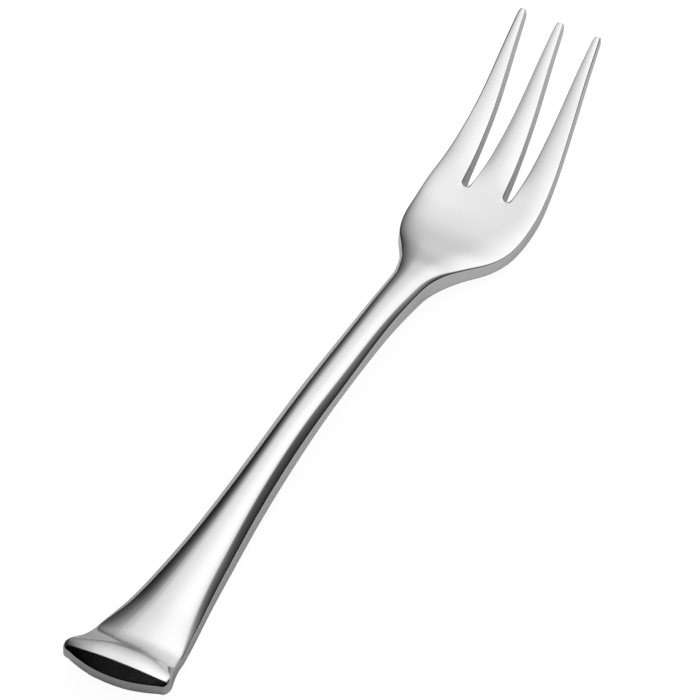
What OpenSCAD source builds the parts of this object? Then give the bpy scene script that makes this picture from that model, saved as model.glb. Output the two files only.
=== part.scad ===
// Oyster fork: a flared handle with a curled end, a slim neck, and a head with three tines.
// Millimetres. X runs from the handle's end to the tine tips, Y to the left, Z up.
// The origin is on the table, under the middle of the fork.

/* [Overall] */
// Length from the handle's end to the tine tips, along the table
fork_length = 150; // [130:1:190]
// Height of the handle's underside over the table, at the top of its arch
arch_height = 5.7; // [2:0.1:8]
// Height of the tine tips' underside over the table
tip_height = 20; // [8:0.5:24]
// Depth of the flats on which the fork rests
rest_depth = 0.08; // [0.03:0.01:0.15]

/* [Handle] */
// Width of the handle where the curled end starts
handle_width = 15.4; // [11:0.2:18]
// Width of the neck at its slimmest
neck_width = 5.6; // [4.4:0.1:8]
// Height of the handle's side, up to the edge of its crowned face
side_height = 3; // [2.4:0.1:4.2]
// Extra height of the side along the middle of the handle, which the neck loses again
middle_extra = 0.5; // [0:0.05:0.8]
// Run of the sloping flank between the face and the side
flank_run = 1.15; // [0.6:0.05:1.4]
// Drop of the sloping flank
flank_drop = 0.88; // [0.4:0.02:1.1]
// Slope of the crowned face at its edge, in degrees
crown_tilt = 26; // [12:1:34]
// Bevel along the underside's edge
edge_bevel = 0.4; // [0.1:0.05:0.6]

/* [Curled end] */
// Width across the corners of the curled end
end_width = 19; // [16:0.2:24]
// Length of the curled end, from the middle of the end to the handle
end_length = 11; // [9.5:0.25:14]
// Height of the crest over the table
crest_height = 6; // [5.4:0.1:7]
// Distance from the middle of the end to the crest
crest_setback = 3.6; // [3.4:0.1:4.2]
// Height over the table of the edge where the rolled front ends
lip_edge = 4.6; // [4.2:0.1:4.8]
// How far the end's middle stands out past its corners
end_bulge = 2.3; // [1:0.1:2.6]
// Radius of the end's corners
corner_radius = 1.2; // [0.6:0.1:1.4]
// Depth of the groove behind the crest
groove_depth = 0.6; // [0.2:0.05:1.2]
// Extra run of the flank at the lip's ends
notch_run = 0.7; // [0:0.1:1.4]
// Extra drop of the flank at the lip's ends
notch_drop = 0.2; // [0:0.1:1.3]
// Height of the underside over the table at the middle of the end
end_lift = 2.3; // [1.2:0.1:2.6]
// Extra height of the underside at the corners of the end
corner_lift = 0.4; // [0:0.1:0.6]

/* [Head] */
// Width of the head at its widest
head_width = 20; // [17:0.2:24]
// Length of the head and tines together
head_length = 52; // [46:0.5:60]
// Depth of the belly under the head
belly_depth = 0.9; // [0.2:0.05:1.4]
// Depth of the shallow dish in the head's face
dish_depth = 0.2; // [0.05:0.05:0.5]
// Thickness of the head
head_thickness = 2.3; // [1.8:0.1:3]

/* [Tines] */
// Length of the slots, from their roots to the tine tips, along the table
slot_length = 24.8; // [20:0.2:28]
// Width of a slot at its root
slot_width = 1.7; // [1.2:0.1:2.2]
// Distance from the fork's middle line to the middle of a slot's root
slot_offset = 3.7; // [3.3:0.05:4.4]
// Distance from the middle tine's tip to an outer tine's tip
tip_pitch = 6.85; // [6:0.05:8]
// Width of a tine at its tip
tip_width = 1.1; // [1:0.1:2]
// Thickness of a tine at its tip
tip_thickness = 1.6; // [1.2:0.1:2.2]
// Slope of a tine's crowned top at its edges, in degrees
tine_tilt = 9; // [0:1:14]
// Bevel along a tine's edges
tine_bevel = 0.25; // [0.05:0.05:0.35]
// Length of the blunted tip
tip_round = 0.7; // [0.3:0.1:1.2]

/* [Hidden] */

// Places along the fork
shoulder_x = fork_length - head_length;
shaft_length = shoulder_x - end_length;
neck_start_share = 0.58;
neck_start_x = end_length + shaft_length * neck_start_share;
slot_radius = slot_width / 2;
tine_x = fork_length - slot_length + slot_radius;
tine_length = fork_length - tine_x;

// Curled end, as [share of its length, share of the size]
curl_shares = [[0, 1], [0.18, 0.93], [0.33, 0.84], [0.5, 0.72], [0.63, 0.6], [0.8, 0.41], [0.92, 0.33],
    [1.05, 0.26], [1.18, 0.18], [1.33, 0.09], [1.45, 0.03], [1.56, 0], [1.7, 0]];
corner_shares = [[0, 0.95], [0.24, 1], [0.35, 0.1], [0.42, -0.5], [0.55, -0.95], [0.68, -0.9], [0.8, -0.3],
    [0.92, 0], [1.2, 0]];
crest_shares = [[0, 1], [0.33, 1], [0.4, 0.94], [0.5, 0.78], [0.6, 0.6], [0.7, 0.42], [0.8, 0.25],
    [0.9, 0.1], [0.96, 0.03], [1, 0], [1.2, 0]];
groove_shares = [[0, 0], [0.4, 0], [0.51, 0.08], [0.6, 0.29], [0.69, 0.57], [0.78, 0.83], [0.87, 0.98],
    [0.93, 1], [1, 0.92], [1.1, 0.66], [1.22, 0.35], [1.36, 0.1], [1.5, 0]];
notch_shares = [[0, 0], [0.33, 0.02], [0.42, 0.2], [0.5, 0.55], [0.6, 1], [0.68, 0.85], [0.76, 0.4],
    [0.85, 0.1], [0.95, 0], [1.2, 0]];
flare_shares = [[0.2, 1], [0.27, 0.99], [0.355, 0.9], [0.455, 0.73], [0.52, 0.58], [0.62, 0.37],
    [0.72, 0.2], [0.845, 0.06], [0.93, 0.01], [1, 0]];

// Shaft, as [share of its length, share of the size]
shaft_shares = [[0, 1], [0.06, 0.8], [0.15, 0.56], [0.26, 0.35], [0.37, 0.2], [0.5, 0.107], [0.6, 0.08],
    [0.7, 0.065], [0.78, 0.03], [0.86, 0], [1, 0]];
waist_shares = [[0, 0], [0.8, 0], [0.87, 0.015], [0.93, 0.045], [0.97, 0.075], [1, 0.105]];
arch_shares = [[0, 0], [0.08, 0], [0.15, 0.055], [0.25, 0.17], [0.37, 0.42], [0.5, 0.7], [0.6, 0.9],
    [0.69, 1], [0.77, 0.985], [0.84, 0.945], [0.92, 0.85], [1, 0.685]];
swell_shares = [[0, 0], [0.09, 0], [0.2, 1], [0.3, 1.25], [0.46, 1.25], [0.54, 0.9], [0.61, 0.3],
    [0.69, -0.4], [0.77, -0.25], [0.84, 0.1], [0.92, 0.5], [1, 0.6]];
shaft_flank_shares = [[0, 0.35], [0.03, 0.5], [0.07, 0.75], [0.14, 0.92], [0.3, 1], [0.6, 1], [0.8, 0.8],
    [1, 0.58]];

// Head, as [share of its length, share of the size]
head_shares = [[0, 0], [0.02, 0.015], [0.058, 0.085], [0.11, 0.225], [0.165, 0.44], [0.217, 0.7],
    [0.273, 0.865], [0.319, 0.945], [0.362, 0.98], [0.404, 0.995], [0.45, 1], [0.5, 1], [0.558, 0.97],
    [0.625, 0.912], [0.692, 0.846], [0.767, 0.78], [0.827, 0.736], [0.885, 0.7], [0.942, 0.663],
    [1, 0.641]];
arch_end_shares = [[0, 0.685], [0.08, 0.53], [0.15, 0.37], [0.23, 0.18], [0.31, 0.05], [0.37, 0], [0.5, 0],
    [1, 0]];
rise_shares = [[0, 0], [0.37, 0], [0.44, 0.015], [0.5, 0.052], [0.56, 0.112], [0.625, 0.195], [0.69, 0.297],
    [0.75, 0.405], [0.81, 0.535], [0.9, 0.767], [1, 1]];
thin_shares = [[0, 1], [0.04, 0.95], [0.085, 0.8], [0.12, 0.45], [0.154, 0.2], [0.2, 0.06], [0.25, 0],
    [1, 0]];
taper_shares = [[0, 0], [0.31, 0], [0.39, -0.4], [0.48, -0.75], [0.56, -0.4], [0.62, -0.1], [0.67, 0.1],
    [0.81, 0.4], [1, 1]];
roll_tilt_shares = [[0, 1], [0.15, 0.82], [0.27, 0.68], [0.385, 0.6], [0.46, 0.5], [0.55, 0.4], [0.62, 0],
    [1, 0]];
roll_power_shares = [[0, 1], [0.1, 1.1], [0.16, 1.3], [0.23, 1.8], [0.31, 2.6], [0.385, 3.6], [0.46, 4],
    [1, 4]];
dish_shares = [[0, 0], [0.3, 0], [0.385, 0.5], [0.46, 1], [0.52, 0.9], [0.6, 0.3], [0.7, 0], [1, 0]];
belly_shares = [[0, 0], [0.04, 0.08], [0.085, 0.3], [0.154, 0.75], [0.21, 1.12], [0.27, 1.2], [0.34, 1.14],
    [0.385, 1.03], [0.44, 0.85], [0.5, 0.62], [0.56, 0.35], [0.63, 0.05], [0.7, 0], [1, 0]];
head_flank_shares = [[0, 0.58], [0.03, 0.5], [0.077, 0.4], [0.115, 0.25], [0.17, 0.16], [0.25, 0.12],
    [1, 0.12]];

// Tines, as [share of their length, share of the way to the tips' pitch]
pitch_shares = [[0, 0], [0.25, 0.5], [0.5, 1.1], [0.7, 1.2], [1, 1]];

// Cross-section
column_shares = [1, 0.96, 0.9, 0.8, 0.66, 0.48, 0.3, 0.14];
tine_column_shares = [1, 0.5];
crest_crown_share = 0.15;
groove_edge_share = 0.3;
lip_run_share = 0.7;
lip_drop_share = 0.8;
lip_bevel_share = 1.3;
flank_bow_run_share = 0.55;
flank_bow_drop_share = 0.42;
bevel_bow_share = 0.29;
crown_power = 2.6;
slope_step_share = 0.01;
tilt_fade_share = 0.2;

// Rolled front: each row's share of the way from the crest to the end's outline
roll_row_shares = [1, 0.93, 0.82, 0.66, 0.48, 0.26];
// Under it: share of that way, inset and lift as shares of the bevel
foot_row_shares = [[1, 0, 1], [0.98, 0.29, 0.29], [0.93, 1, 0], [0.75, 1, 0], [0.5, 1, 0], [0.25, 1, 0]];
// The two columns round a corner: turn in degrees, drop, inset and lift as shares
corner_column_shares = [[90, 1, 0, 1], [45, 0.6, 0.29, 0.29]];
front_power = 2.2;
corner_power = 4.5;
front_bevel_share = 0.75;

// Rows along each piece
handle_row_shares = [0, 0.02, 0.045, 0.075, 0.11, 0.16, 0.22, 0.29, 0.37, 0.46, 0.55, 0.64, 0.73, 0.82,
    0.91, 1];
tine_row_shares = [0, 0.1, 0.2, 0.3, 0.4, 0.5, 0.6, 0.7, 0.8, 0.9, 1];
tip_row_shares = [0.45, 0.8, 1];
tip_narrow_share = 0.35;
end_rows = 11;
neck_rows = 12;
head_rows = 20;
slot_facets = 48;

// Smooth curve through a table of [place, value] points
function span(table, s, i = 0) = i >= len(table) - 2 || s < table[i + 1].x ? i : span(table, s, i + 1);
function rate(table, i) = (table[i + 1].y - table[i].y) / (table[i + 1].x - table[i].x);
function knot_slope(table, i) =
    i == 0 ? rate(table, 0) :
    i == len(table) - 1 ? rate(table, i - 1) :
    (rate(table, i - 1) * (table[i + 1].x - table[i].x) + rate(table, i) * (table[i].x - table[i - 1].x))
        / (table[i + 1].x - table[i - 1].x);
function blend(p, q, mp, mq, u) =
    p * (2 * u ^ 3 - 3 * u ^ 2 + 1) + mp * (u ^ 3 - 2 * u ^ 2 + u)
    + q * (3 * u ^ 2 - 2 * u ^ 3) + mq * (u ^ 3 - u ^ 2);
function curve(table, s) =
    s <= table[0].x ? table[0].y :
    s >= table[len(table) - 1].x ? table[len(table) - 1].y :
    let (i = span(table, s), gap = table[i + 1].x - table[i].x)
    blend(table[i].y, table[i + 1].y, knot_slope(table, i) * gap, knot_slope(table, i + 1) * gap,
        (s - table[i].x) / gap);
function mix(a, b, share) = a + (b - a) * share;

// Shares of the way along each stretch
function end_share(x) = x / end_length;
function shaft_share(x) = (x - end_length) / shaft_length;
function head_share(x) = (x - shoulder_x) / head_length;
function tine_share(x) = (x - tine_x) / tine_length;

// Underside along the middle line, and the slope of its bend
function curl(x) = end_lift * curve(curl_shares, end_share(x));
function bend(x) =
    arch_height
        * (x < shoulder_x ? curve(arch_shares, shaft_share(x)) : curve(arch_end_shares, head_share(x)))
    + tip_height * curve(rise_shares, head_share(x));
function under(x) = curl(x) + bend(x) - rest_depth;
function slope(x) =
    let (step = fork_length * slope_step_share)
    atan((bend(x + step) - bend(x - step)) / (2 * step));

// Half of the width
function waist() = neck_width / 2 * (1 + curve(waist_shares, 1));
function half_width(x) =
    x < end_length ? mix(handle_width / 2, end_width / 2, curve(flare_shares, end_share(x))) :
    x < shoulder_x ? mix(neck_width / 2, handle_width / 2, curve(shaft_shares, shaft_share(x)))
        + neck_width / 2 * curve(waist_shares, shaft_share(x)) :
    mix(waist(), head_width / 2, curve(head_shares, head_share(x)));

// Side, flank, crown, dish and belly
function crest(x) = curve(crest_shares, end_share(x));
function crest_crown() = crest_height * crest_crown_share;
function neck_side() = side_height + middle_extra * curve(swell_shares, 1);
function side(x) =
    x < end_length
        ? mix(side_height, crest_height - crest_crown(), crest(x)) - groove(x) * groove_edge_share - curl(x)
            + rest_depth :
    x < shoulder_x
        ? side_height + middle_extra * curve(swell_shares, shaft_share(x)) - groove(x) * groove_edge_share
            - curl(x) + rest_depth
        : mix(head_thickness, neck_side(), curve(thin_shares, head_share(x))) + belly(x) + rest_depth
            + (tip_thickness - head_thickness) * curve(taper_shares, head_share(x));
function flank(x) =
    x < shoulder_x ? curve(shaft_flank_shares, shaft_share(x)) : curve(head_flank_shares, head_share(x));
function notch(x) = curve(notch_shares, end_share(x));
function groove(x) = groove_depth * curve(groove_shares, end_share(x));
function run(x) = flank_run * flank(x) * mix(1, lip_run_share, crest(x)) + notch_run * notch(x);
function drop(x) = flank_drop * flank(x) * mix(1, lip_drop_share, crest(x)) + notch_drop * notch(x);
function bevel(x) = edge_bevel * mix(1, lip_bevel_share, crest(x));
function roll_power(x) = crown_power * curve(roll_power_shares, head_share(x));
function crown(x) =
    let (tilt = crown_tilt * curve(roll_tilt_shares, head_share(x)))
    mix((half_width(x) - run(x)) * tan(tilt) / roll_power(x), crest_crown(), crest(x))
    - groove(x) * (1 - groove_edge_share);
function dish(x) = dish_depth * curve(dish_shares, head_share(x));
function belly(x) = belly_depth * curve(belly_shares, head_share(x));
function corner(x) = corner_lift * curve(corner_shares, end_share(x));

// Heights over the underside's middle line, at the distance y from the fork's middle
function low(x, y) = (belly(x) + corner(x)) * abs(y / half_width(x)) ^ crown_power;
function high(x, y) =
    let (across = min(1, abs(y) / (half_width(x) - run(x))))
    side(x) + crown(x) * (1 - across ^ roll_power(x)) - dish(x) * (1 - across ^ crown_power);

// A point of the cross-section at x, which stands square to the underside
function place(x, y, h) = [x - h * sin(slope(x)), y, under(x) + h * cos(slope(x))];

// Upper and lower line of the cross-section at x, as [distance from the middle, height] from left to right
function mirrored(half, middle) =
    concat(half, [[0, middle]], [for (i = [len(half) - 1:-1:0]) [-half[i].x, half[i].y]]);
function upper_line(x) =
    let (w = half_width(x), a = w - run(x), edge = high(x, a))
    mirrored(concat(
        [[w, edge - drop(x)], [w - run(x) * flank_bow_run_share, edge - drop(x) * flank_bow_drop_share]],
        [for (c = column_shares) [a * c, high(x, a * c)]]), high(x, 0));
function lower_line(x) =
    let (w = half_width(x), a = w - bevel(x), bow = bevel(x) * bevel_bow_share)
    mirrored(concat(
        [[w, low(x, w) + bevel(x)], [w - bow, low(x, w) + bow]],
        [for (c = column_shares) [a * c, low(x, a * c)]]), 0);
function upper_row(x) = [for (p = upper_line(x)) place(x, p.x, p.y)];
function lower_row(x) = [for (p = lower_line(x)) place(x, p.x, p.y)];

// Outline of the curled end, set inwards by inset: its bulging middle, and a corner at the angle turn
function end_x(y) = end_bulge * (y / (end_width / 2)) ^ 2;
function straight_half() = end_width / 2 - corner_radius;
function outline_middle(share, inset) = [end_x(share * straight_half()) + inset, share * straight_half()];
function outline_corner(turn, inset) =
    let (reach = corner_radius - inset)
    [end_x(straight_half()) + corner_radius - reach * cos(turn), straight_half() + reach * sin(turn)];

// Rows of the front, from the crest to the outline; their columns follow those of the cross-section
front_column_shares = concat(
    [for (c = corner_column_shares) concat(1, c)],
    [for (c = column_shares) [c, 0, 0, 1, 0]],
    [[0, 0, 0, 1, 0]]);
function front_bevel() = min(bevel(crest_setback), corner_radius * front_bevel_share);
function end_low(x, y) = under(x) + corner(x) * abs(y / half_width(x)) ^ crown_power;
function outline_point(c, inset) = c[1] > 0 ? outline_corner(c[1], inset) : outline_middle(c[0], inset);
function both_sides(row) =
    concat(row, [for (i = [len(row) - 2:-1:0]) [row[i].x, -row[i].y, row[i].z]]);
function front_upper_row(share) =
    let (crest_row = upper_row(crest_setback))
    both_sides([for (i = [0:len(front_column_shares) - 1])
        let (
            c = front_column_shares[i],
            p = crest_row[i],
            q = outline_point(c, 0),
            edge_z = lip_edge - drop(crest_setback) * c[2],
            fall = share ^ mix(front_power, corner_power, c[0] ^ 2))
        [mix(p.x, q.x, share), mix(p.y, q.y, share), mix(p.z, edge_z, fall)]]);
function front_lower_row(foot) =
    let (crest_row = lower_row(crest_setback), size = front_bevel())
    both_sides([for (i = [0:len(front_column_shares) - 1])
        let (
            c = front_column_shares[i],
            p = crest_row[i],
            q = outline_point(c, size * min(foot[1], c[3])),
            x = mix(p.x, q.x, foot[0]),
            y = mix(p.y, q.y, foot[0]),
            lift = max(size * foot[2], (p.z - end_low(crest_setback, p.y))))
        [x, y, end_low(x, y) + lift]]);

// Upper and lower line of a tine, which keeps the head's heights between its own two edges
function tine_half(x, side_tine) =
    let (root = side_tine ? (half_width(tine_x) - slot_offset - slot_radius) / 2 : slot_offset - slot_radius)
    mix(root, tip_width / 2, tine_share(x));
function tine_middle_y(x, side_tine) =
    let (root_y = (half_width(tine_x) + slot_offset + slot_radius) / 2)
    side_tine ? mix(root_y, tip_pitch, curve(pitch_shares, tine_share(x))) : 0;
function tip_keep(x) = 1 - tip_narrow_share * max(0, (x - fork_length + tip_round) / tip_round) ^ 2;
function tine_line(x, side_tine, top) =
    let (
        w = tine_half(x, side_tine) * tip_keep(x),
        y = tine_middle_y(x, side_tine),
        a = w - tine_bevel,
        inset = side(x) * (1 - tip_keep(x)) / 2,
        crown_fall = w * tan(tine_tilt) / crown_power * min(1, tine_share(x) / tilt_fade_share),
        last = len(tine_column_shares) - 1,
        right = concat(tine_column_shares, [0], [for (i = [last:-1:0]) -tine_column_shares[i]]))
    concat(
        [[y + w, (top
            ? high(x, y + w) - crown_fall - tine_bevel - inset
            : low(x, y + w) + tine_bevel + inset)]],
        [for (c = right) [y + a * c, (top
            ? high(x, y + a * c) - crown_fall * abs(c) ^ crown_power - inset
            : low(x, y + a * c) + inset)]],
        [[y - w, (top
            ? high(x, y - w) - crown_fall - tine_bevel - inset
            : low(x, y - w) + tine_bevel + inset)]]);
function tine_row(x, side_tine, top) = [for (p = tine_line(x, side_tine, top)) place(x, p.x, p.y)];

// Closed solid between rows of upper points and rows of lower points
module slab(upper, lower) {
    rows = len(upper);
    columns = len(upper[0]);
    below = rows * columns;
    function at(i, j) = i * columns + j;
    function halves(q) = [[q[0], q[1], q[2]], [q[0], q[2], q[3]]];
    function turned(q, flip) = flip ? [q[3], q[2], q[1], q[0]] : q;
    upper_quads = [for (i = [0:rows - 2], j = [0:columns - 2])
        [at(i, j), at(i + 1, j), at(i + 1, j + 1), at(i, j + 1)]];
    lower_quads = [for (i = [0:rows - 2], j = [0:columns - 2])
        [below + at(i, j), below + at(i, j + 1), below + at(i + 1, j + 1), below + at(i + 1, j)]];
    side_quads = [for (i = [0:rows - 2], j = [0, columns - 1])
        turned([at(i, j), below + at(i, j), below + at(i + 1, j), at(i + 1, j)], j > 0)];
    end_quads = [for (i = [0, rows - 1], j = [0:columns - 2])
        turned([at(i, j), at(i, j + 1), below + at(i, j + 1), below + at(i, j)], i > 0)];
    polyhedron(points = concat([for (row = upper) each row], [for (row = lower) each row]),
        faces = [for (q = concat(upper_quads, lower_quads, side_quads, end_quads)) each halves(q)],
        convexity = 6);
}

module stretch(places) {
    slab([for (x = places) upper_row(x)], [for (x = places) lower_row(x)]);
}

module below_table() {
    translate([-fork_length, -fork_length, -fork_length])
        cube([3 * fork_length, 2 * fork_length, fork_length]);
}

module slot_root(y) {
    translate([tine_x, y, under(tine_x)]) rotate([0, -slope(tine_x), 0])
        cylinder(h = 4 * head_thickness, r = slot_radius, center = true, $fn = slot_facets);
}

module centred() {
    color("silver") translate([-fork_length / 2, 0, 0]) children();
}

module tine(side_tine) {
    places = concat([for (s = tine_row_shares) mix(tine_x, fork_length - tip_round, s)],
        [for (s = tip_row_shares) fork_length - tip_round + tip_round * s]);
    slab(
        [for (x = places) tine_row(x, side_tine, true)],
        [for (x = places) tine_row(x, side_tine, false)]);
}

// Curled end with its rolled front, crest and groove
module handle_end() {
    centred() difference() {
        slab(
            concat([for (share = roll_row_shares) front_upper_row(share)],
                [for (i = [0:end_rows]) upper_row(mix(crest_setback, end_length, i / end_rows))]),
            concat([for (foot = foot_row_shares) front_lower_row(foot)],
                [for (i = [0:end_rows]) lower_row(mix(crest_setback, end_length, i / end_rows))]));
        below_table();
    }
}

// Crowned handle, with the flat on which the fork's back rests
module handle() {
    centred() difference() {
        stretch([for (s = handle_row_shares) mix(end_length, neck_start_x, s)]);
        below_table();
    }
}

module neck() {
    centred() stretch([for (i = [0:neck_rows]) mix(neck_start_x, shoulder_x, i / neck_rows)]);
}

// Head with the roots of both slots, and the flat on which its belly rests
module head() {
    centred() difference() {
        stretch([for (i = [0:head_rows]) mix(shoulder_x, tine_x, i / head_rows)]);
        below_table();
        slot_root(slot_offset);
        slot_root(-slot_offset);
    }
}

module tine_left() { centred() tine(true); }
module tine_middle() { centred() tine(false); }
module tine_right() { centred() mirror([0, 1, 0]) tine(true); }

handle_end();
handle();
neck();
head();
tine_left();
tine_middle();
tine_right();
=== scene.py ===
"""Oyster fork in polished steel: one smooth piece over the seven regions of the frame, on a pale table.

Metres. X runs from the handle's end to the tine tips, Y to the left, Z up from the table.
Each table of shares holds points of (share along a stretch, share of a size), as in the part's source.
Many of them follow widths and heights measured in the photo, and were then adjusted to its outline and
greys. The soft box's fade from side to side was set from greys measured in the photo, too.
"""
import math

import bmesh
import bpy
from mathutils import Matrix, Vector


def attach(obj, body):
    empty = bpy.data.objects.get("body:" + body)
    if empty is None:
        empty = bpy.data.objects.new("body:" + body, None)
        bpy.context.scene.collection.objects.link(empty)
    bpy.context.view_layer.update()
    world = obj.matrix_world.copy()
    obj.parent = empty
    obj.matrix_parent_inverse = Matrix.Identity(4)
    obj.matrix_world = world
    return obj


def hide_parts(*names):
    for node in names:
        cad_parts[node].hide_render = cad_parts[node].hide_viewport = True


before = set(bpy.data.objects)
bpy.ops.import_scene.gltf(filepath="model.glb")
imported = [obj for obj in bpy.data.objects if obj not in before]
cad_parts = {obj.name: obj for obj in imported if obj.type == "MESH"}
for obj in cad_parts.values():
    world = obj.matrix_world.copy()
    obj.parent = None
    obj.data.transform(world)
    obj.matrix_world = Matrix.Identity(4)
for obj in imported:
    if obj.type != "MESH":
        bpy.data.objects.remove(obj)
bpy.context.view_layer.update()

MM = 0.001
REGIONS = ["handle_end", "handle", "neck", "head", "tine_left", "tine_middle", "tine_right"]

# Overall
FORK_LENGTH = 150 * MM
ARCH_HEIGHT = 5.7 * MM
TIP_HEIGHT = 20 * MM
REST_DEPTH = 0.08 * MM

# Handle
HANDLE_WIDTH = 15.4 * MM
NECK_WIDTH = 5.6 * MM
SIDE_HEIGHT = 3.0 * MM
MIDDLE_EXTRA = 0.5 * MM
FLANK_RUN = 1.15 * MM
FLANK_DROP = 0.88 * MM
CROWN_TILT = math.radians(26)
EDGE_BEVEL = 0.4 * MM

# Curled end
END_WIDTH = 19 * MM
END_LENGTH = 11 * MM
CREST_HEIGHT = 6.0 * MM
CREST_SETBACK = 3.6 * MM
END_BULGE = 2.3 * MM
LIP_EDGE = 4.6 * MM
CORNER_RADIUS = 1.2 * MM
GROOVE_DEPTH = 0.6 * MM
NOTCH_RUN = 0.7 * MM
NOTCH_DROP = 0.2 * MM
END_LIFT = 2.3 * MM
CORNER_LIFT = 0.4 * MM

# Head
HEAD_WIDTH = 20 * MM
HEAD_LENGTH = 52 * MM
BELLY_DEPTH = 0.9 * MM
DISH_DEPTH = 0.2 * MM
HEAD_THICKNESS = 2.3 * MM

# Tines
SLOT_LENGTH = 24.8 * MM
SLOT_WIDTH = 1.7 * MM
SLOT_OFFSET = 3.7 * MM
TIP_PITCH = 6.85 * MM
TIP_WIDTH = 1.1 * MM
TIP_THICKNESS = 1.6 * MM
TINE_TILT = math.radians(9)
TIP_ROUND = 0.7 * MM

# Places along the fork, from the handle's end
SHOULDER = FORK_LENGTH - HEAD_LENGTH
SHAFT_LENGTH = SHOULDER - END_LENGTH
SLOT_RADIUS = SLOT_WIDTH / 2
TINE_START = FORK_LENGTH - SLOT_LENGTH + SLOT_RADIUS
TINE_LENGTH = FORK_LENGTH - TINE_START

# Shares of sizes that hold at the curled end's crest
CREST_CROWN_SHARE = 0.15
LIP_RUN_SHARE = 0.7
LIP_DROP_SHARE = 0.8
LIP_BEVEL_SHARE = 1.3
GROOVE_EDGE_SHARE = 0.3
CREST_CROWN = CREST_HEIGHT * CREST_CROWN_SHARE

# Shares of a tine's width that its blunt tip loses, and of its length over which its crown fades in
TIP_LOSS_SHARE = 0.35
CROWN_FADE_SHARE = 0.2

# Share of the length over which the slope is taken, to each side
SLOPE_STEP_SHARE = 0.01

# Powers of the rounded cross-sections: the crown, the rolled front, and the front at its corners
CROWN_POWER = 2.6
FRONT_POWER = 2.2
CORNER_POWER = 4.5

# Shares along and of the curled end
CURL_SHARES = [
    (0, 1), (0.18, 0.93), (0.33, 0.84), (0.5, 0.72), (0.63, 0.6), (0.8, 0.41), (0.92, 0.33), (1.05, 0.26),
    (1.18, 0.18), (1.33, 0.09), (1.45, 0.03), (1.56, 0), (1.7, 0)]
CORNER_SHARES = [
    (0, 0.95), (0.24, 1), (0.35, 0.1), (0.42, -0.5), (0.55, -0.95), (0.68, -0.9), (0.8, -0.3), (0.92, 0),
    (1.2, 0)]
CREST_SHARES = [
    (0, 1), (0.33, 1), (0.4, 0.94), (0.5, 0.78), (0.6, 0.6), (0.7, 0.42), (0.8, 0.25), (0.9, 0.1),
    (0.96, 0.03), (1, 0), (1.2, 0)]
GROOVE_SHARES = [
    (0, 0), (0.4, 0), (0.51, 0.08), (0.6, 0.29), (0.69, 0.57), (0.78, 0.83), (0.87, 0.98), (0.93, 1),
    (1, 0.92), (1.1, 0.66), (1.22, 0.35), (1.36, 0.1), (1.5, 0)]
NOTCH_SHARES = [
    (0, 0), (0.33, 0.02), (0.42, 0.2), (0.5, 0.55), (0.6, 1), (0.68, 0.85), (0.76, 0.4), (0.85, 0.1),
    (0.95, 0), (1.2, 0)]
FLARE_SHARES = [
    (0.2, 1), (0.27, 0.99), (0.355, 0.9), (0.455, 0.73), (0.52, 0.58), (0.62, 0.37), (0.72, 0.2),
    (0.845, 0.06), (0.93, 0.01), (1, 0)]

# Shares along and of the handle and neck
SHAFT_SHARES = [
    (0, 1), (0.06, 0.8), (0.15, 0.56), (0.26, 0.35), (0.37, 0.2), (0.5, 0.107), (0.6, 0.08), (0.7, 0.065),
    (0.78, 0.03), (0.86, 0), (1, 0)]
WAIST_SHARES = [(0, 0), (0.8, 0), (0.87, 0.015), (0.93, 0.045), (0.97, 0.075), (1, 0.105)]
ARCH_SHARES = [
    (0, 0), (0.08, 0), (0.15, 0.055), (0.25, 0.17), (0.37, 0.42), (0.5, 0.7), (0.6, 0.9), (0.69, 1),
    (0.77, 0.985), (0.84, 0.945), (0.92, 0.85), (1, 0.685)]
SWELL_SHARES = [
    (0, 0), (0.09, 0), (0.2, 1), (0.3, 1.25), (0.46, 1.25), (0.54, 0.9), (0.61, 0.3), (0.69, -0.4),
    (0.77, -0.25), (0.84, 0.1), (0.92, 0.5), (1, 0.6)]
SHAFT_FLANK_SHARES = [
    (0, 0.35), (0.03, 0.5), (0.07, 0.75), (0.14, 0.92), (0.3, 1), (0.6, 1), (0.8, 0.8), (1, 0.58)]

# Shares along and of the head and tines
HEAD_SHARES = [
    (0, 0), (0.02, 0.015), (0.058, 0.085), (0.11, 0.225), (0.165, 0.44), (0.217, 0.7), (0.273, 0.865),
    (0.319, 0.945), (0.362, 0.98), (0.404, 0.995), (0.45, 1), (0.5, 1), (0.558, 0.97), (0.625, 0.912),
    (0.692, 0.846), (0.767, 0.78), (0.827, 0.736), (0.885, 0.7), (0.942, 0.663), (1, 0.641)]
ARCH_END_SHARES = [
    (0, 0.685), (0.08, 0.53), (0.15, 0.37), (0.23, 0.18), (0.31, 0.05), (0.37, 0), (0.5, 0), (1, 0)]
RISE_SHARES = [
    (0, 0), (0.37, 0), (0.44, 0.015), (0.5, 0.052), (0.56, 0.112), (0.625, 0.195), (0.69, 0.297),
    (0.75, 0.405), (0.81, 0.535), (0.9, 0.767), (1, 1)]
THIN_SHARES = [
    (0, 1), (0.04, 0.95), (0.085, 0.8), (0.12, 0.45), (0.154, 0.2), (0.2, 0.06), (0.25, 0), (1, 0)]
TAPER_SHARES = [
    (0, 0), (0.31, 0), (0.39, -0.4), (0.48, -0.75), (0.56, -0.4), (0.62, -0.1), (0.67, 0.1), (0.81, 0.4),
    (1, 1)]
ROLL_TILT_SHARES = [
    (0, 1), (0.15, 0.82), (0.27, 0.68), (0.385, 0.6), (0.46, 0.5), (0.55, 0.4), (0.62, 0), (1, 0)]
ROLL_POWER_SHARES = [
    (0, 1), (0.1, 1.1), (0.16, 1.3), (0.23, 1.8), (0.31, 2.6), (0.385, 3.6), (0.46, 4), (1, 4)]
DISH_SHARES = [(0, 0), (0.3, 0), (0.385, 0.5), (0.46, 1), (0.52, 0.9), (0.6, 0.3), (0.7, 0), (1, 0)]
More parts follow.
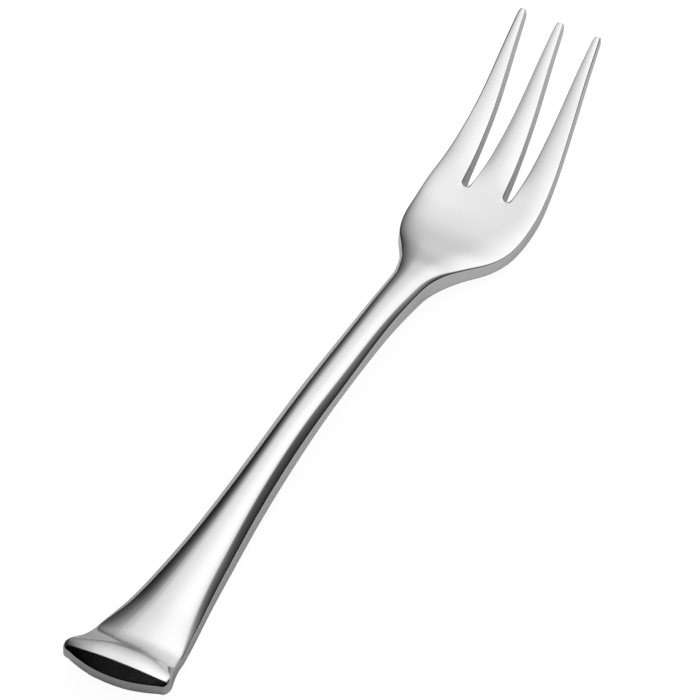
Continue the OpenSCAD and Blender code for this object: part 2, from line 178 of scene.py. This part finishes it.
BELLY_SHARES = [
    (0, 0), (0.04, 0.08), (0.085, 0.3), (0.154, 0.75), (0.21, 1.12), (0.27, 1.2), (0.34, 1.14),
    (0.385, 1.03), (0.44, 0.85), (0.5, 0.62), (0.56, 0.35), (0.63, 0.05), (0.7, 0), (1, 0)]
HEAD_FLANK_SHARES = [
    (0, 0.58), (0.03, 0.5), (0.077, 0.4), (0.115, 0.25), (0.17, 0.16), (0.25, 0.12), (1, 0.12)]
PITCH_SHARES = [(0, 0), (0.25, 0.5), (0.5, 1.1), (0.7, 1.2), (1, 1)]

# Steel
STEEL_GREY = 0.7
POLISH_ROUGHNESS = (0.08, 0.13)
POLISH_SCALE = 180
POLISH_DETAIL = 3
MARK_STRETCH = (1, 14, 14)
MARK_SCALE = 900
MARK_DETAIL = 4
MARK_STRENGTH = 0.03
MARK_DEPTH = 0.02 * MM

# Table: its grey in reflections from the handle's end to the tine tips, with painted shade darker towards
# the handle's end, and what the camera sees of it
TABLE_SIZE = 8
TABLE_GREYS_WITH_PAINTED_SHADE = (0.62, 0.8)
PAINTED_SHADE_REACH = 100 * MM
TABLE_VEIL = 0.14
TABLE_GLOW = 0.94

# Black card in front of the curled end
FLAG_AT = Vector((-88, -10, 20)) * MM
FLAG_WIDTH = 112 * MM
FLAG_HEIGHT = 70 * MM
FLAG_FACING = Vector((57, 0, -60))
FLAG_GREY = 0.001

# The soft box's light, from right to left of the fork, and from the horizon to straight up
SKY_STRENGTH = 1.43
ACROSS_STOPS = [
    (0.0, 0.03), (0.15, 0.04), (0.21, 0.13), (0.27, 0.36), (0.33, 0.68), (0.39, 0.91), (0.45, 1.0),
    (0.54, 0.98), (0.6, 0.95), (0.66, 0.84), (0.725, 0.6), (0.775, 0.37), (0.815, 0.19), (0.845, 0.09),
    (0.88, 0.03), (1.0, 0.02)]
UPWARD_STOPS = [
    (0.0, 0.12), (0.04, 0.25), (0.1, 0.5), (0.16, 0.6), (0.28, 0.7), (0.55, 0.88), (0.77, 0.98),
    (0.93, 1.0), (1.0, 1.0)]

# Camera with a long lens, in front of the handle's end and to its right, 45 degrees up
LENS = 1500
SENSOR_WIDTH = 36
TO_CAMERA = Vector((-0.623, -0.343, 0.703)).normalized()
AIM = Vector((11.4, 3.88, 0)) * MM
FRAME_WIDTH = 111.7 * MM
CLIP_START = 0.1
CLIP_END = 50


def curve(table, share):
    """Smooth curve through a table of (share, value) points."""
    if share <= table[0][0]:
        return table[0][1]
    if share >= table[-1][0]:
        return table[-1][1]
    i = max(k for k in range(len(table) - 1) if table[k][0] <= share)

    def rate(k):
        return (table[k + 1][1] - table[k][1]) / (table[k + 1][0] - table[k][0])

    def tangent(k):
        if k == 0:
            return rate(0)
        if k == len(table) - 1:
            return rate(k - 1)
        before = table[k][0] - table[k - 1][0]
        after = table[k + 1][0] - table[k][0]
        return (rate(k - 1) * after + rate(k) * before) / (before + after)

    gap = table[i + 1][0] - table[i][0]
    u = (share - table[i][0]) / gap
    return (
        table[i][1] * (2 * u ** 3 - 3 * u ** 2 + 1)
        + tangent(i) * gap * (u ** 3 - 2 * u ** 2 + u)
        + table[i + 1][1] * (3 * u ** 2 - 2 * u ** 3)
        + tangent(i + 1) * gap * (u ** 3 - u ** 2)
    )


def mix(a, b, share):
    return a + (b - a) * share


def end_share(x):
    return x / END_LENGTH


def shaft_share(x):
    return (x - END_LENGTH) / SHAFT_LENGTH


def head_share(x):
    return (x - SHOULDER) / HEAD_LENGTH


def tine_share(x):
    return (x - TINE_START) / TINE_LENGTH


def curl(x):
    """How far the underside rises towards the handle's end."""
    return END_LIFT * curve(CURL_SHARES, end_share(x))


def bend(x):
    """Height of the arch and of the tines' rise."""
    if x < SHOULDER:
        arch = curve(ARCH_SHARES, shaft_share(x))
    else:
        arch = curve(ARCH_END_SHARES, head_share(x))
    return ARCH_HEIGHT * arch + TIP_HEIGHT * curve(RISE_SHARES, head_share(x))


def under(x):
    """Height of the underside along the middle line."""
    return curl(x) + bend(x) - REST_DEPTH


def slope(x):
    """Angle of the bend along the middle line."""
    step = FORK_LENGTH * SLOPE_STEP_SHARE
    return math.atan2(bend(x + step) - bend(x - step), 2 * step)


def half_width(x):
    if x < END_LENGTH:
        return mix(HANDLE_WIDTH / 2, END_WIDTH / 2, curve(FLARE_SHARES, end_share(x)))
    if x < SHOULDER:
        along = shaft_share(x)
        shaft = mix(NECK_WIDTH / 2, HANDLE_WIDTH / 2, curve(SHAFT_SHARES, along))
        return shaft + NECK_WIDTH / 2 * curve(WAIST_SHARES, along)
    neck = NECK_WIDTH / 2 * (1 + WAIST_SHARES[-1][1])
    return mix(neck, HEAD_WIDTH / 2, curve(HEAD_SHARES, head_share(x)))


def crest(x):
    return curve(CREST_SHARES, end_share(x))


def notch(x):
    return curve(NOTCH_SHARES, end_share(x))


def groove(x):
    return GROOVE_DEPTH * curve(GROOVE_SHARES, end_share(x))


def side(x):
    """Height of the face's edge over the underside."""
    if x < END_LENGTH:
        edge = mix(SIDE_HEIGHT, CREST_HEIGHT - CREST_CROWN, crest(x))
        return edge - groove(x) * GROOVE_EDGE_SHARE - curl(x) + REST_DEPTH
    if x < SHOULDER:
        extra = MIDDLE_EXTRA * curve(SWELL_SHARES, shaft_share(x))
        return SIDE_HEIGHT + extra - groove(x) * GROOVE_EDGE_SHARE - curl(x) + REST_DEPTH
    along = head_share(x)
    neck_side = SIDE_HEIGHT + MIDDLE_EXTRA * SWELL_SHARES[-1][1]
    return (
        mix(HEAD_THICKNESS, neck_side, curve(THIN_SHARES, along))
        + belly(x)
        + REST_DEPTH
        + (TIP_THICKNESS - HEAD_THICKNESS) * curve(TAPER_SHARES, along)
    )


def flank(x):
    """Share of the flank's run and drop."""
    if x < SHOULDER:
        return curve(SHAFT_FLANK_SHARES, shaft_share(x))
    return curve(HEAD_FLANK_SHARES, head_share(x))


def run(x):
    return FLANK_RUN * flank(x) * mix(1, LIP_RUN_SHARE, crest(x)) + NOTCH_RUN * notch(x)


def drop(x):
    return FLANK_DROP * flank(x) * mix(1, LIP_DROP_SHARE, crest(x)) + NOTCH_DROP * notch(x)


def roll_power(x):
    return CROWN_POWER * curve(ROLL_POWER_SHARES, head_share(x))


def crown(x):
    """Height of the face's middle over its edge, from the tilt at that edge."""
    tilt = CROWN_TILT * curve(ROLL_TILT_SHARES, head_share(x))
    full = (half_width(x) - run(x)) * math.tan(tilt) / roll_power(x)
    return mix(full, CREST_CROWN, crest(x)) - groove(x) * (1 - GROOVE_EDGE_SHARE)


def dish(x):
    return DISH_DEPTH * curve(DISH_SHARES, head_share(x))


def belly(x):
    return BELLY_DEPTH * curve(BELLY_SHARES, head_share(x))


def bevel(x):
    """Size of the rounding along the lower edge."""
    return EDGE_BEVEL * mix(1, LIP_BEVEL_SHARE, crest(x))


def corner(x):
    """Lift of the underside's edge over its middle at the curled end. Just behind it the edge dips."""
    return CORNER_LIFT * curve(CORNER_SHARES, end_share(x))


def low(x, y):
    return (belly(x) + corner(x)) * abs(y / half_width(x)) ** CROWN_POWER


def high(x, y):
    share = min(1, abs(y) / (half_width(x) - run(x)))
    return side(x) + crown(x) * (1 - share ** roll_power(x)) - dish(x) * (1 - share ** CROWN_POWER)


def place(x, y, height):
    """A point of the cross-section at x, which stands square to the bend."""
    tilt = slope(x)
    return Vector((x - height * math.sin(tilt) - FORK_LENGTH / 2, y, under(x) + height * math.cos(tilt)))


# Rows of the mesh, as places along the fork
WALL_SUPPORT = 0.3 * MM
FRONT_DROPS = [None, WALL_SUPPORT, 0, 0, 0, 0]
FRONT_SHARES = [1, 1, 1, 0.82, 0.56, 0.28]
FOOT_SHARES = [1, 0.92, 0.82, 0.66, 0.46, 0.24]
ROOT_GAPS = [1.8 * SLOT_RADIUS, 3.4 * SLOT_RADIUS]
TIP_GAP_SHARES = (0.45, 0.15, 0)
END_STEPS = 10
SHAFT_STEPS = 34
HEAD_STEPS = 17
TINE_STEPS = 11
SHAFT_CROWDING = 1.15
TINE_CROWDING = 1.1
END_ROWS = [mix(CREST_SETBACK, END_LENGTH, i / END_STEPS) for i in range(END_STEPS)]
SHAFT_ROWS = [mix(END_LENGTH, SHOULDER, (i / SHAFT_STEPS) ** SHAFT_CROWDING) for i in range(SHAFT_STEPS)]
HEAD_ROWS = [mix(SHOULDER, TINE_START - ROOT_GAPS[1], i / HEAD_STEPS) for i in range(HEAD_STEPS + 1)]
HEAD_ROWS += [TINE_START - ROOT_GAPS[0]]
TINE_ROWS = [
    mix(TINE_START, FORK_LENGTH - TIP_ROUND, (i / TINE_STEPS) ** TINE_CROWDING)
    for i in range(TINE_STEPS + 1)]
TIP_ROWS = [FORK_LENGTH - TIP_ROUND * share for share in TIP_GAP_SHARES]
ROWS = END_ROWS + SHAFT_ROWS + HEAD_ROWS + TINE_ROWS + TIP_ROWS
FRONT_ROWS = len(FRONT_SHARES)
ROOT_ROW = FRONT_ROWS + len(END_ROWS) + len(SHAFT_ROWS) + len(HEAD_ROWS)

# Columns of the mesh from the middle to the left side. The slot's columns lie between the two tines.
FACE_AT_ROOT = half_width(TINE_START) - run(TINE_START)
SLOT_INNER = SLOT_OFFSET - SLOT_RADIUS
SLOT_OUTER = SLOT_OFFSET + SLOT_RADIUS
SLOT_TURNS = [-0.7, 0, 0.7]
MIDDLE_SHARES = [0, 0.5, 0.92, 1]
OUTER_SHARES = [0, 0.07, 0.36, 0.68, 0.9, 1]
FACE_COLUMNS = [SLOT_INNER * share for share in MIDDLE_SHARES]
FACE_COLUMNS += [SLOT_OFFSET + SLOT_RADIUS * turn for turn in SLOT_TURNS]
FACE_COLUMNS += [mix(SLOT_OUTER, FACE_AT_ROOT, share) for share in OUTER_SHARES]
FACE_SHARES = [y / FACE_AT_ROOT for y in FACE_COLUMNS]
INNER_COLUMN = len(MIDDLE_SHARES) - 1
OUTER_COLUMN = INNER_COLUMN + len(SLOT_TURNS) + 1

# Columns of the rim: shares of the flank, of the lower edge's rounding, and of both at the curled end
FLANK_STEPS = [(0.45, 0.42), (1, 1), (1, 1)]
FOOT_STEPS = [(0.71, 0.29), (1, 1), (1, 1)]
RIM_TURNS = [32, 64, 90]
RIM_FALLS = [0.5, 0.85, 1]
RIM_FEET = [0.2, 0.6, 1]
RIM_INSETS = [0.29, 0, 0]
LAST_RIM = len(RIM_TURNS) - 1
HALF_COLUMNS = len(FACE_COLUMNS) + LAST_RIM

# Sharpness of the slots' edges, and how often the mesh is subdivided
SLOT_CREASE = 0.75
SMOOTH_LEVELS = 2


def face_share(column):
    return FACE_SHARES[min(column, len(FACE_SHARES) - 1)]


def outer_share(column):
    return OUTER_SHARES[min(max(column - OUTER_COLUMN, 0), len(OUTER_SHARES) - 1)]


def tip_keep(x):
    """Share of its width and thickness that a tine keeps near its blunt tip."""
    return 1 - TIP_LOSS_SHARE * max(0, (x - FORK_LENGTH + TIP_ROUND) / TIP_ROUND) ** 2


def tine_edges(x):
    """Half the middle tine's width, and an outer tine's inner and outer edge."""
    along = tine_share(x)
    middle_half = mix(SLOT_INNER, TIP_WIDTH / 2, along) * tip_keep(x)
    outer_edge = half_width(TINE_START)
    outer_half = mix((outer_edge - SLOT_OUTER) / 2, TIP_WIDTH / 2, along) * tip_keep(x)
    outer_middle = mix((outer_edge + SLOT_OUTER) / 2, TIP_PITCH, curve(PITCH_SHARES, along))
    return middle_half, outer_middle - outer_half, outer_middle + outer_half


def across(x, column, inset):
    """Distance of a column from the middle line, on a face whose edge lies inset from the side."""
    if x <= TINE_START:
        return face_share(column) * (half_width(x) - inset)
    middle_half, inner, outer = tine_edges(x)
    if column <= INNER_COLUMN:
        return MIDDLE_SHARES[column] * middle_half
    return mix(inner, outer - inset, outer_share(column))


def side_edge(x):
    return half_width(x) if x <= TINE_START else tine_edges(x)[2]


def root_shift(row, column):
    """How far a slot's columns reach back to make its root round."""
    if row != ROOT_ROW or not INNER_COLUMN < column < OUTER_COLUMN:
        return 0
    turn = SLOT_TURNS[column - INNER_COLUMN - 1]
    return SLOT_RADIUS * math.sqrt(1 - turn ** 2)


def edge_fall(x, column):
    """How far a tine's crowned top lies lower there than along the tine's middle."""
    if x <= TINE_START:
        return 0
    middle_half, inner, outer = tine_edges(x)
    if column <= INNER_COLUMN:
        half, share = middle_half, MIDDLE_SHARES[column]
    else:
        half, share = (outer - inner) / 2, 2 * outer_share(column) - 1
    fade = min(1, (x - TINE_START) / (TINE_LENGTH * CROWN_FADE_SHARE))
    return half * math.tan(TINE_TILT) / CROWN_POWER * abs(share) ** CROWN_POWER * fade


def section_point(row, column, top):
    """Section place, distance from the middle and height for a row behind the crest and a column."""
    x = ROWS[row - FRONT_ROWS] - root_shift(row, column)
    inset = run(x) if top else bevel(x)
    pinch = side(x) * (1 - tip_keep(x)) / 2
    if column < len(FACE_COLUMNS):
        y = across(x, column, inset)
        if top:
            return x, y, high(x, y) - pinch - edge_fall(x, column)
        return x, y, low(x, y) + pinch
    edge = side_edge(x)
    rim = column - len(FACE_COLUMNS)
    support = WALL_SUPPORT if rim == LAST_RIM else 0
    if top:
        crease = high(x, edge - inset) - pinch - edge_fall(x, column)
        out, down = FLANK_STEPS[rim]
        return x, edge - inset * (1 - out), crease - drop(x) * down - support
    foot = low(x, edge) + pinch
    out, up = FOOT_STEPS[rim]
    return x, edge - inset * (1 - out), foot + inset * up + support


def end_x(y):
    return END_BULGE * (abs(y) / (END_WIDTH / 2)) ** 2


def end_low(x, y):
    return under(x) + corner(x) * abs(y / half_width(x)) ** CROWN_POWER


def outline_point(column, inset):
    """Place and distance from the middle on the curled end's outline, with its rounded corner."""
    straight = END_WIDTH / 2 - CORNER_RADIUS
    if column < len(FACE_COLUMNS):
        y = FACE_SHARES[column] * straight
        return end_x(y) + inset, y
    turn = math.radians(RIM_TURNS[column - len(FACE_COLUMNS)])
    reach = CORNER_RADIUS - inset
    return end_x(straight) + CORNER_RADIUS - reach * math.cos(turn), straight + reach * math.sin(turn)


def front_point(row, column, top):
    """A point of the curled end before its crest: the rolled front, and the wall under its edge."""
    crest_x, crest_y, height = section_point(FRONT_ROWS, column, top)
    rim = column - len(FACE_COLUMNS)
    rounding = bevel(CREST_SETBACK)
    if top:
        edge_x, edge_y = outline_point(column, 0)
        share = FRONT_SHARES[row]
        if row == 0:
            z = end_low(edge_x, edge_y) + rounding
        else:
            fall = drop(CREST_SETBACK) * RIM_FALLS[rim] if rim >= 0 else 0
            roll = mix(FRONT_POWER, CORNER_POWER, face_share(column) ** 2)
            z = mix(under(crest_x) + height, LIP_EDGE - fall, share ** roll) - FRONT_DROPS[row]
    else:
        edge_x, edge_y = outline_point(column, rounding * (RIM_INSETS[rim] if rim >= 0 else 1))
        share = FOOT_SHARES[row]
    x = mix(crest_x, edge_x, share)
    y = mix(crest_y, edge_y, share)
    if not top:
        z = end_low(x, y) + (rounding * RIM_FEET[rim] if rim >= 0 else 0)
    return Vector((x - FORK_LENGTH / 2, y, z))


def surface_point(row, column, top):
    """Where a vertex lies. Columns count outwards from the middle, and a negative one is on the right."""
    away = abs(column)
    if row < FRONT_ROWS:
        point = front_point(row, away, top)
    else:
        point = place(*section_point(row, away, top))
    if column < 0:
        point.y = -point.y
    point.z = max(point.z, 0)
    return point


def cut_slots(sheet, row_of, column_of):
    """Delete the sheet's faces between the tines."""
    slot_faces = []
    for face in sheet.faces:
        first_row = min(vert[row_of] for vert in face.verts)
        inner = min(abs(vert[column_of]) for vert in face.verts)
        if first_row >= ROOT_ROW and INNER_COLUMN <= inner < OUTER_COLUMN:
            slot_faces.append(face)
    bmesh.ops.delete(sheet, geom=slot_faces, context="FACES")


def crease_slots(sheet, row_of, column_of, lower, last_row):
    """Sharpen the upper and lower edges of the slots' walls, but not at the tips."""
    crease = sheet.edges.layers.float.new("crease_edge")
    for edge in sheet.edges:
        if (edge.verts[0] in lower) != (edge.verts[1] in lower):
            continue
        walls = [face for face in edge.link_faces if len({vert in lower for vert in face.verts}) == 2]
        inner = min(abs(vert[column_of]) for vert in edge.verts)
        outer = max(abs(vert[column_of]) for vert in edge.verts)
        at_tip = min(vert[row_of] for vert in edge.verts) >= last_row - 1
        if walls and INNER_COLUMN <= inner and outer <= OUTER_COLUMN and not at_tip:
            edge[crease] = SLOT_CREASE


def build_fork():
    """One sheet of quads, cut open at the slots, extruded down to the underside and subdivided."""
    last_row = FRONT_ROWS + len(ROWS) - 1
    sheet = bmesh.new()
    bmesh.ops.create_grid(sheet, x_segments=last_row, y_segments=2 * HALF_COLUMNS, size=1)
    row_of = sheet.verts.layers.int.new("row")
    column_of = sheet.verts.layers.int.new("column")
    for vert in sheet.verts:
        vert[row_of] = round((vert.co.x + 1) / 2 * last_row)
        vert[column_of] = round(vert.co.y * HALF_COLUMNS)
    cut_slots(sheet, row_of, column_of)

    extruded = bmesh.ops.extrude_face_region(sheet, geom=sheet.faces[:])["geom"]
    lower = {item for item in extruded if isinstance(item, bmesh.types.BMVert)}
    for vert in sheet.verts:
        vert.co = surface_point(vert[row_of], vert[column_of], vert not in lower)
    crease_slots(sheet, row_of, column_of, lower, last_row)

    bmesh.ops.recalc_face_normals(sheet, faces=sheet.faces[:])
    mesh = bpy.data.meshes.new("fork_steel")
    sheet.to_mesh(mesh)
    sheet.free()
    mesh.polygons.foreach_set("use_smooth", [True] * len(mesh.polygons))
    fork = bpy.data.objects.new("fork_steel", mesh)
    bpy.context.scene.collection.objects.link(fork)
    smooth = fork.modifiers.new("smooth", "SUBSURF")
    smooth.levels = SMOOTH_LEVELS
    smooth.render_levels = SMOOTH_LEVELS
    return fork


def grey(value):
    return (value, value, value, 1)


def polished_steel():
    """Polished stainless steel, with a faint uneven polish and fine wiping marks along the fork."""
    steel = bpy.data.materials.new("polished_steel")
    steel.use_nodes = True
    nodes = steel.node_tree.nodes
    links = steel.node_tree.links
    shader = nodes["Principled BSDF"]
    shader.inputs["Base Color"].default_value = grey(STEEL_GREY)
    shader.inputs["Metallic"].default_value = 1.0

    coords = nodes.new("ShaderNodeTexCoord")
    cloudy = nodes.new("ShaderNodeTexNoise")
    cloudy.inputs["Scale"].default_value = POLISH_SCALE
    cloudy.inputs["Detail"].default_value = POLISH_DETAIL
    links.new(coords.outputs["Object"], cloudy.inputs["Vector"])
    polish = nodes.new("ShaderNodeMapRange")
    polish.inputs["To Min"].default_value = POLISH_ROUGHNESS[0]
    polish.inputs["To Max"].default_value = POLISH_ROUGHNESS[1]
    links.new(cloudy.outputs["Fac"], polish.inputs["Value"])
    links.new(polish.outputs["Result"], shader.inputs["Roughness"])

    lengthwise = nodes.new("ShaderNodeMapping")
    lengthwise.inputs["Scale"].default_value = MARK_STRETCH
    links.new(coords.outputs["Object"], lengthwise.inputs["Vector"])
    wiping = nodes.new("ShaderNodeTexNoise")
    wiping.inputs["Scale"].default_value = MARK_SCALE
    wiping.inputs["Detail"].default_value = MARK_DETAIL
    links.new(lengthwise.outputs["Vector"], wiping.inputs["Vector"])
    marks = nodes.new("ShaderNodeBump")
    marks.inputs["Strength"].default_value = MARK_STRENGTH
    marks.inputs["Distance"].default_value = MARK_DEPTH
    links.new(wiping.outputs["Fac"], marks.inputs["Height"])
    links.new(marks.outputs["Normal"], shader.inputs["Normal"])
    return steel


def add_card(name, centre, width, height, facing, finish):
    """A flat stage card of that size, square to facing."""
    card = bmesh.new()
    bmesh.ops.create_grid(card, x_segments=1, y_segments=1, size=0.5)
    bmesh.ops.scale(card, vec=Vector((width, height, 1)), verts=card.verts)
    turn = facing.to_track_quat("Z", "Y").to_matrix()
    bmesh.ops.rotate(card, cent=Vector((0, 0, 0)), matrix=turn, verts=card.verts)
    bmesh.ops.translate(card, vec=centre, verts=card.verts)
    mesh = bpy.data.meshes.new(name)
    card.to_mesh(mesh)
    card.free()
    mesh.materials.append(finish)
    plane = bpy.data.objects.new(name, mesh)
    bpy.context.scene.collection.objects.link(plane)
    return plane


def camera_switch(nodes, links, unseen, seen, output):
    """Link one shader for what the camera sees and another for reflections and light."""
    path = nodes.new("ShaderNodeLightPath")
    either = nodes.new("ShaderNodeMixShader")
    links.new(path.outputs["Is Camera Ray"], either.inputs["Fac"])
    links.new(unseen, either.inputs[1])
    links.new(seen, either.inputs[2])
    links.new(either.outputs["Shader"], output.inputs["Surface"])


def table_finish():
    """Pale table: grey in the steel's reflections with painted shade darker towards the handle's end,
    white with a faint shadow to the camera.
    """
    finish = bpy.data.materials.new("pale_table")
    finish.use_nodes = True
    nodes = finish.node_tree.nodes
    links = finish.node_tree.links
    nodes.clear()
    coords = nodes.new("ShaderNodeTexCoord")
    parts = nodes.new("ShaderNodeSeparateXYZ")
    links.new(coords.outputs["Object"], parts.inputs["Vector"])
    # Painted shade: the table's grey falls from the tine tips towards the handle's end
    painted_shade = nodes.new("ShaderNodeMapRange")
    painted_shade.inputs["From Min"].default_value = -PAINTED_SHADE_REACH
    painted_shade.inputs["From Max"].default_value = PAINTED_SHADE_REACH
    painted_shade.inputs["To Min"].default_value = TABLE_GREYS_WITH_PAINTED_SHADE[0]
    painted_shade.inputs["To Max"].default_value = TABLE_GREYS_WITH_PAINTED_SHADE[1]
    links.new(parts.outputs["X"], painted_shade.inputs["Value"])
    paper_with_painted_shade = nodes.new("ShaderNodeBsdfDiffuse")
    links.new(painted_shade.outputs["Result"], paper_with_painted_shade.inputs["Color"])

    veil = nodes.new("ShaderNodeBsdfDiffuse")
    veil.inputs["Color"].default_value = grey(TABLE_VEIL)
    glow = nodes.new("ShaderNodeEmission")
    glow.inputs["Color"].default_value = grey(1)
    glow.inputs["Strength"].default_value = TABLE_GLOW
    both = nodes.new("ShaderNodeAddShader")
    links.new(veil.outputs["BSDF"], both.inputs[0])
    links.new(glow.outputs["Emission"], both.inputs[1])
    output = nodes.new("ShaderNodeOutputMaterial")
    camera_switch(nodes, links, paper_with_painted_shade.outputs["BSDF"], both.outputs["Shader"], output)
    return finish


def flag_finish():
    """Matt black."""
    finish = bpy.data.materials.new("black_flag")
    finish.use_nodes = True
    shader = finish.node_tree.nodes["Principled BSDF"]
    shader.inputs["Base Color"].default_value = grey(FLAG_GREY)
    shader.inputs["Roughness"].default_value = 1.0
    shader.inputs["Specular IOR Level"].default_value = 0.0
    return finish


def add_ramp(nodes, stops):
    """A smooth grey ramp through (position, value) stops."""
    ramp = nodes.new("ShaderNodeValToRGB")
    ramp.color_ramp.interpolation = "CARDINAL"
    elements = ramp.color_ramp.elements
    while len(elements) < len(stops):
        elements.new(0.5)
    for element, (position, value) in zip(elements, stops):
        element.position = position
        element.color = grey(value)
    return ramp


def studio_sky():
    """A long soft box over the fork: it fades to both sides and a little towards the horizon."""
    world = bpy.context.scene.world or bpy.data.worlds.new("studio")
    bpy.context.scene.world = world
    world.use_nodes = True
    nodes = world.node_tree.nodes
    links = world.node_tree.links
    nodes.clear()
    coords = nodes.new("ShaderNodeTexCoord")
    parts = nodes.new("ShaderNodeSeparateXYZ")
    links.new(coords.outputs["Generated"], parts.inputs["Vector"])
    sideways = nodes.new("ShaderNodeMapRange")
    sideways.inputs["From Min"].default_value = -1.0
    links.new(parts.outputs["Y"], sideways.inputs["Value"])
    across_fade = add_ramp(nodes, ACROSS_STOPS)
    links.new(sideways.outputs["Result"], across_fade.inputs["Fac"])
    upward_fade = add_ramp(nodes, UPWARD_STOPS)
    links.new(parts.outputs["Z"], upward_fade.inputs["Fac"])
    fade = nodes.new("ShaderNodeMath")
    fade.operation = "MULTIPLY"
    links.new(across_fade.outputs["Color"], fade.inputs[0])
    links.new(upward_fade.outputs["Color"], fade.inputs[1])
    level = nodes.new("ShaderNodeMath")
    level.operation = "MULTIPLY"
    level.inputs[1].default_value = SKY_STRENGTH
    links.new(fade.outputs["Value"], level.inputs[0])

    sky = nodes.new("ShaderNodeBackground")
    sky.inputs["Color"].default_value = grey(1)
    links.new(level.outputs["Value"], sky.inputs["Strength"])
    plain = nodes.new("ShaderNodeBackground")
    plain.inputs["Color"].default_value = grey(1)
    output = nodes.new("ShaderNodeOutputWorld")
    camera_switch(nodes, links, sky.outputs["Background"], plain.outputs["Background"], output)


def add_camera():
    camera_data = bpy.data.cameras.new("camera")
    camera = bpy.data.objects.new("camera", camera_data)
    bpy.context.scene.collection.objects.link(camera)
    camera_data.lens = LENS
    camera_data.sensor_width = SENSOR_WIDTH
    camera_data.clip_start = CLIP_START
    camera_data.clip_end = CLIP_END
    camera.location = AIM + TO_CAMERA * (FRAME_WIDTH * LENS / SENSOR_WIDTH)
    camera.rotation_euler = TO_CAMERA.to_track_quat("Z", "Y").to_euler()
    bpy.context.scene.camera = camera


fork = build_fork()
fork.data.materials.append(polished_steel())
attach(fork, "root")
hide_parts(*REGIONS)

add_card("table", Vector((0, 0, 0)), TABLE_SIZE, TABLE_SIZE, Vector((0, 0, 1)), table_finish())
flag = add_card("flag", FLAG_AT, FLAG_WIDTH, FLAG_HEIGHT, FLAG_FACING, flag_finish())
flag.visible_camera = False
flag.visible_shadow = False

studio_sky()
add_camera()
bpy.context.scene.view_settings.view_transform = "Standard"
